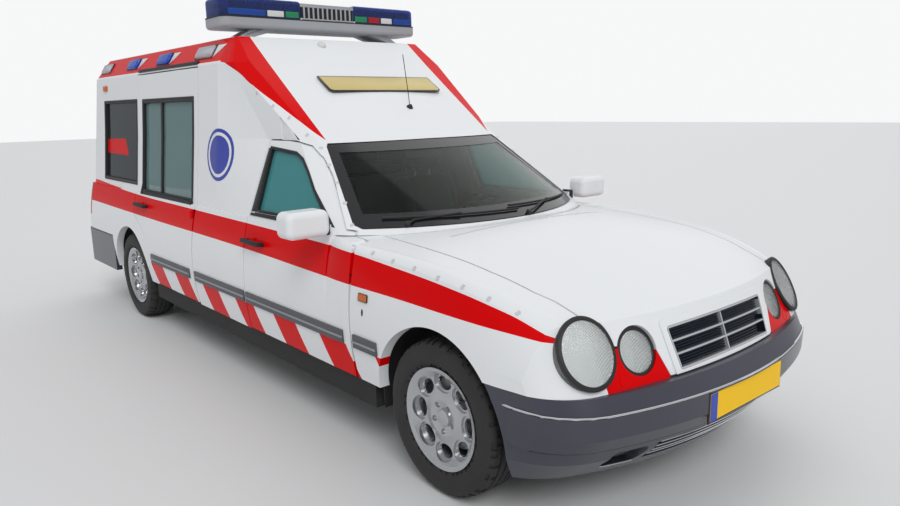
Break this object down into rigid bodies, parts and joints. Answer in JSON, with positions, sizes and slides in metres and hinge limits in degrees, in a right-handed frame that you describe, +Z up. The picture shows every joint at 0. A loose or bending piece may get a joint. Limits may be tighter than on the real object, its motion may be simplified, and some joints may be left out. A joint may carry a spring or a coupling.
{
  "type": "estate ambulance on a long wheelbase",
  "caption": "Long-wheelbase estate ambulance with a raised roof, working doors, bonnet, tailgate, steering and wheels.",
  "frame": {"origin": "on the ground, under the middle of the overall box", "axes": "+X forward, +Y to the vehicle's left, +Z up"},
  "size_m": [5.53, 2.156, 2.1649],
  "materials": {
    "body_paint": "gloss white enamel",
    "red_paint": "gloss red enamel",
    "bumper_plastic": "dark grey satin moulding",
    "chassis_black": "black underseal",
    "cast_metal": "cast metal",
    "exhaust_steel": "dull steel",
    "chrome_trim": "bright chrome",
    "lamp_glass": "clear fluted glass",
    "tail_red": "red lens",
    "clear_glass": "lightly tinted glass",
    "dark_glass": "dark privacy glass",
    "beacon_blue": "blue lens",
    "lightbar_grey": "grey moulding",
    "cabin_plastic": "grained dark plastic",
    "cabin_cloth": "dark grey cloth",
    "cabinet_board": "pale laminate",
    "tyre": "black rubber",
    "rim_alloy": "silver lacquered alloy"
  },
  "bodies": {
    "root": {"wing_left": "body_paint", "wing_right": "body_paint", "windscreen_frame": "body_paint", "side_panel_left": "body_paint", "side_panel_right": "body_paint", "roof": "body_paint", "nose_panels": "red_paint", "front_bumper": "bumper_plastic", "rear_bumper": "bumper_plastic", "underbody": "chassis_black", "front_suspension": "chassis_black", "rear_axle": "chassis_black", "engine": "cast_metal", "exhaust": "exhaust_steel", "headlamps": "lamp_glass", "tail_lamps": "tail_red", "windscreen": "clear_glass", "quarter_windows": "dark_glass", "lightbar_lenses": "beacon_blue", "side_beacons": "beacon_blue", "lightbar": "lightbar_grey", "dashboard": "cabin_plastic", "bulkhead": "cabin_plastic", "front_seats": "cabin_cloth", "attendant_seat": "cabin_cloth", "cabinet": "cabinet_board"},
    "knuckle_right": {"knuckle_right": "chassis_black"},
    "knuckle_left": {"knuckle_left": "chassis_black"},
    "bonnet_lid": {"bonnet": "body_paint", "grille": "chrome_trim"},
    "tailgate_lid": {"tailgate": "body_paint", "tailgate_glass": "dark_glass"},
    "steering": {"steering_wheel": "cabin_plastic"},
    "front_door_right": {"front_door_right": "body_paint", "front_glass_right": "clear_glass", "door_mirror_right": "body_paint"},
    "rear_door_right": {"rear_door_right": "body_paint", "rear_glass_right": "dark_glass"},
    "front_door_left": {"front_door_left": "body_paint", "front_glass_left": "clear_glass", "door_mirror_left": "body_paint"},
    "rear_door_left": {"rear_door_left": "body_paint", "rear_glass_left": "dark_glass"},
    "wheel_front_right": {"tyre_front_right": "tyre", "rim_front_right": "rim_alloy"},
    "wheel_front_left": {"tyre_front_left": "tyre", "rim_front_left": "rim_alloy"},
    "wheel_rear_right": {"tyre_rear_right": "tyre", "rim_rear_right": "rim_alloy"},
    "wheel_rear_left": {"tyre_rear_left": "tyre", "rim_rear_left": "rim_alloy"}
  },
  "joints": [
    {"name": "steer_right", "type": "hinge", "parent": "root", "child": "knuckle_right", "pos_m": [1.945, -0.69, 0.3], "axis": [0, 0, 1], "range_deg": [-35, 35]},
    {"name": "steer_left", "type": "hinge", "parent": "root", "child": "knuckle_left", "pos_m": [1.945, 0.69, 0.3], "axis": [0, 0, 1], "range_deg": [-35, 35]},
    {"name": "steering_wheel", "type": "hinge", "parent": "root", "child": "steering", "pos_m": [0.945, 0.38, 0.79], "axis": [-0.9063, 0, 0.4226], "range_deg": [-490, 490]},
    {"name": "wheel_front_right", "type": "hinge", "parent": "knuckle_right", "child": "wheel_front_right", "pos_m": [1.945, -0.768, 0.318], "axis": [0, 1, 0], "continuous": true},
    {"name": "wheel_front_left", "type": "hinge", "parent": "knuckle_left", "child": "wheel_front_left", "pos_m": [1.945, 0.768, 0.318], "axis": [0, 1, 0], "continuous": true},
    {"name": "wheel_rear_right", "type": "hinge", "parent": "root", "child": "wheel_rear_right", "pos_m": [-1.625, -0.768, 0.318], "axis": [0, 1, 0], "continuous": true},
    {"name": "wheel_rear_left", "type": "hinge", "parent": "root", "child": "wheel_rear_left", "pos_m": [-1.625, 0.768, 0.318], "axis": [0, 1, 0], "continuous": true},
    {"name": "front_door_right", "type": "hinge", "parent": "root", "child": "front_door_right", "pos_m": [1.36, -0.86, 0.65], "axis": [0, 0, 1], "range_deg": [0, 70]},
    {"name": "rear_door_right", "type": "hinge", "parent": "root", "child": "rear_door_right", "pos_m": [-0.42, -0.86, 0.9], "axis": [0, 0, 1], "range_deg": [0, 75]},
    {"name": "front_door_left", "type": "hinge", "parent": "root", "child": "front_door_left", "pos_m": [1.36, 0.86, 0.65], "axis": [0, 0, -1], "range_deg": [0, 70]},
    {"name": "rear_door_left", "type": "hinge", "parent": "root", "child": "rear_door_left", "pos_m": [-0.42, 0.86, 0.9], "axis": [0, 0, -1], "range_deg": [0, 75]},
    {"name": "bonnet_hinge", "type": "hinge", "parent": "root", "child": "bonnet_lid", "pos_m": [1.395, 0, 0.945], "axis": [0, -1, 0], "range_deg": [0, 50]},
    {"name": "tailgate_hinge", "type": "hinge", "parent": "root", "child": "tailgate_lid", "pos_m": [-2.545, 0, 1.862], "axis": [0, 1, 0], "range_deg": [0, 88]}
  ],
  "couplings": [
    {"joint": "steer_left", "follows": "steer_right", "ratio": 1},
    {"joint": "steering_wheel", "follows": "steer_right", "ratio": 14}
  ]
}
